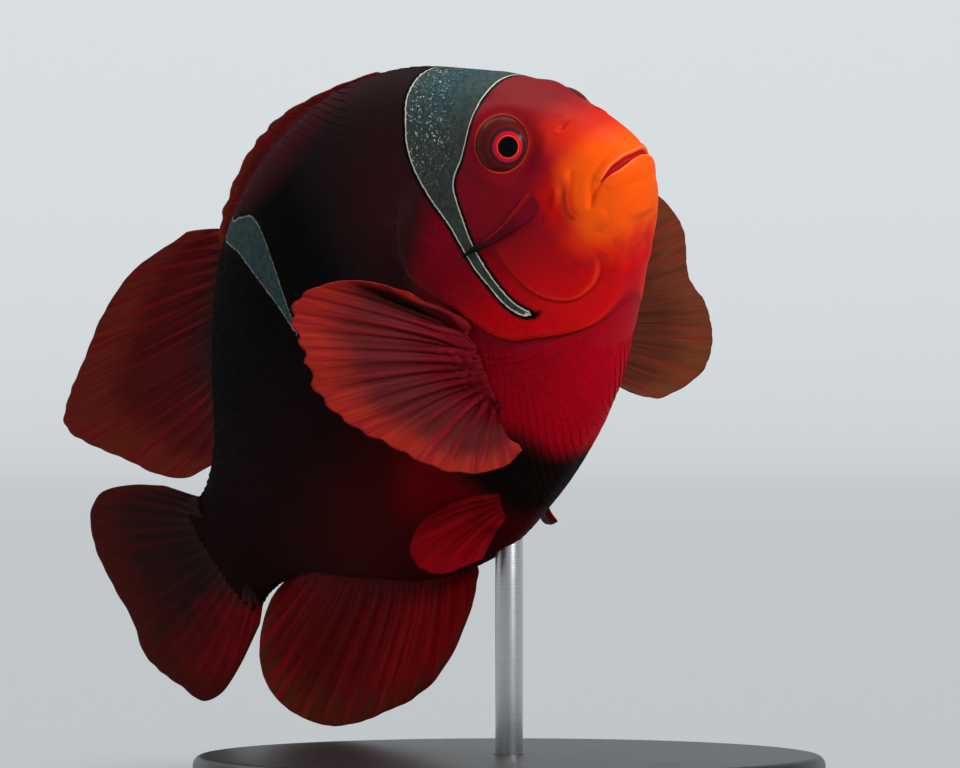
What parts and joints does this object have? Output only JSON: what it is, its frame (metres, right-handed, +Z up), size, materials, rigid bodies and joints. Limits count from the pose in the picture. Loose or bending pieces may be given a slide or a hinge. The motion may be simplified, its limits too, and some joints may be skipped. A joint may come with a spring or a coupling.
{
  "type": "spinecheek clownfish",
  "caption": "Life-size still model of a spinecheek (maroon) clownfish, nose up and fins spread, on a disc base with one rod.",
  "frame": {"origin": "centre of the underside of the display base, below the rod", "axes": "+Z up, +X the way the fish heads in plan, +Y its left in plan; the nose is pitched up 27 degrees and the back leans 22 degrees to the fish's right, about axes through the snout"},
  "size_m": [0.1294, 0.0805, 0.0943],
  "materials": {
    "skin": "satin skin under small overlapping scales, orange snout to near-black maroon back, two grey bars edged in cream",
    "fin": "thin red-brown membrane on raised rays",
    "spine": "smooth dark maroon bone",
    "eye": "wet clear cornea over a red ring and a black pupil",
    "stand_lacquer": "charcoal satin lacquer",
    "stand_steel": "brushed stainless steel"
  },
  "bodies": {
    "root": {"head": "skin", "lower_jaw": "skin", "gill_cover_left": "skin", "gill_cover_right": "skin", "trunk": "skin", "tail_stalk": "skin", "cheek_spine_left": "spine", "cheek_spine_right": "spine", "eye_left": "eye", "eye_right": "eye", "dorsal_fin_spiny": "fin", "dorsal_fin_soft": "fin", "caudal_fin": "fin", "anal_fin": "fin", "pectoral_fin_left": "fin", "pectoral_fin_right": "fin", "pelvic_fin_left": "fin", "pelvic_fin_right": "fin", "stand_base": "stand_lacquer", "stand_rod": "stand_steel"}
  },
  "joints": []
}
